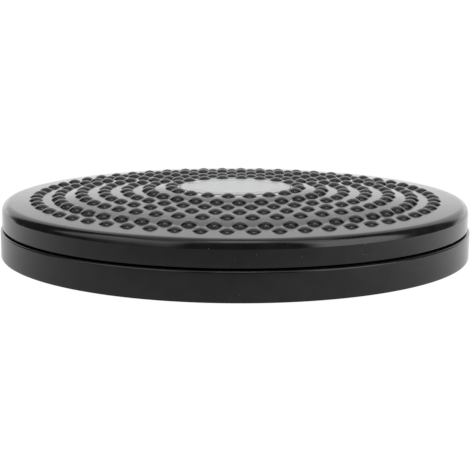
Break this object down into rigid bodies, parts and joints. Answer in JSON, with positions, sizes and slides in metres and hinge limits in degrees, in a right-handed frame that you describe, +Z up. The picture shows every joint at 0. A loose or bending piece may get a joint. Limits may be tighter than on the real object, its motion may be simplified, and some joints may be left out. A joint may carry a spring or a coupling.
{
  "type": "waist twisting disc",
  "caption": "Round low exercise disc: a bumped top platform that turns freely on a ribbed base over a ball bearing, with a pale centre plate.",
  "frame": {"origin": "on the floor plane at the centre of the disc, where the spin axis meets it", "axes": "+Z up along the spin axis; the radial line where every ring of bumps starts lies 30 degrees from -Y, towards +X"},
  "size_m": [0.28, 0.28, 0.0397],
  "materials": {
    "black_gloss_plastic": "glossy",
    "black_satin_plastic": "satin",
    "black_rubber": "matte",
    "race_steel": "zinc plated",
    "zinc_steel": "zinc plated",
    "ball_steel": "polished",
    "nylon": "satin",
    "silver_plate": "satin"
  },
  "bodies": {
    "base": {"base_housing": "black_gloss_plastic", "rubber_feet": "black_rubber", "lower_race": "race_steel", "lower_race_screws": "zinc_steel", "centre_bolt": "zinc_steel", "bolt_washer": "zinc_steel", "underside_cap": "black_satin_plastic", "spacer_sleeve": "zinc_steel", "thrust_washer": "nylon", "retaining_washer": "zinc_steel", "spring_washer": "zinc_steel", "lock_nut": "zinc_steel"},
    "platform": {"platform_shell": "black_gloss_plastic", "badge_plate": "silver_plate", "hub_bush": "nylon", "upper_race": "race_steel", "upper_race_screws": "zinc_steel"},
    "cage": {"ball_cage": "nylon", "bearing_balls": "ball_steel"}
  },
  "joints": [
    {"name": "platform_spin", "type": "hinge", "parent": "base", "child": "platform", "pos_m": [0, 0, 0.022], "axis": [0, 0, 1], "continuous": true},
    {"name": "cage_spin", "type": "hinge", "parent": "base", "child": "cage", "pos_m": [0, 0, 0.01865], "axis": [0, 0, 1], "continuous": true}
  ],
  "couplings": [
    {"joint": "cage_spin", "follows": "platform_spin", "ratio": 0.5}
  ]
}
